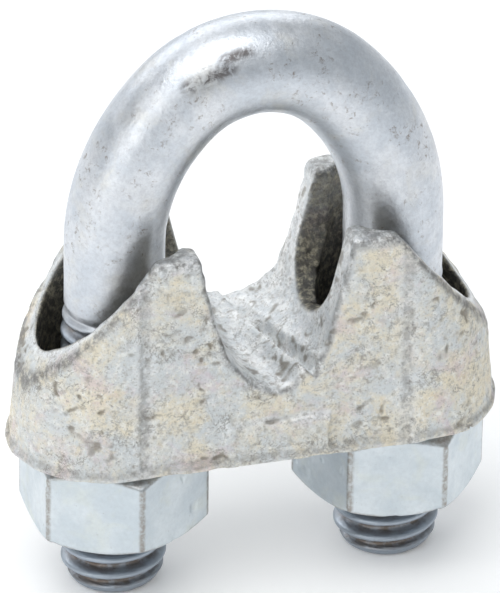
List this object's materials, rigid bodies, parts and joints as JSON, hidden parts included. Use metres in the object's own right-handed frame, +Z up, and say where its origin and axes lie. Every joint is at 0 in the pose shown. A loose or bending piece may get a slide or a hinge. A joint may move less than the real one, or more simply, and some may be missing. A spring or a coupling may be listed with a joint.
{
  "type": "wire rope clip",
  "caption": "U-bolt wire rope clip: a threaded U-bolt, a cast saddle with a helically ribbed rope groove and pockets for the legs, and hexagon nuts that draw the saddle up.",
  "frame": {"origin": "on the plane of the two stud ends, midway between the leg axes", "axes": "+X from the left leg to the right leg, +Y along the rope away from the viewed face, +Z up along the legs towards the bow"},
  "size_m": [0.0376, 0.0146, 0.046],
  "materials": {
    "bolt_steel": "satin zinc plating",
    "saddle_iron": "rough casting under yellowish zinc plating",
    "nut_steel": "satin zinc plating"
  },
  "bodies": {
    "u_bolt": {"u_bolt": "bolt_steel"},
    "saddle": {"saddle": "saddle_iron"},
    "nut_left": {"nut_left": "nut_steel"},
    "nut_right": {"nut_right": "nut_steel"}
  },
  "joints": [
    {"name": "saddle_slide", "type": "slide", "parent": "u_bolt", "child": "saddle", "axis": [0, 0, 1], "range_m": [-0.00494, 0.00988]},
    {"name": "nut_left_turn", "type": "hinge", "parent": "saddle", "child": "nut_left", "pos_m": [-0.01065, 0, 0.00857], "axis": [0, 0, 1], "range_deg": [-1260, 2520]},
    {"name": "nut_right_turn", "type": "hinge", "parent": "saddle", "child": "nut_right", "pos_m": [0.01065, 0, 0.00857], "axis": [0, 0, 1], "range_deg": [-1260, 2520]}
  ],
  "couplings": [
    {"joint": "saddle_slide", "follows": "nut_left_turn", "m_per_rad": 0.00022457},
    {"joint": "nut_right_turn", "follows": "nut_left_turn", "ratio": 1}
  ]
}
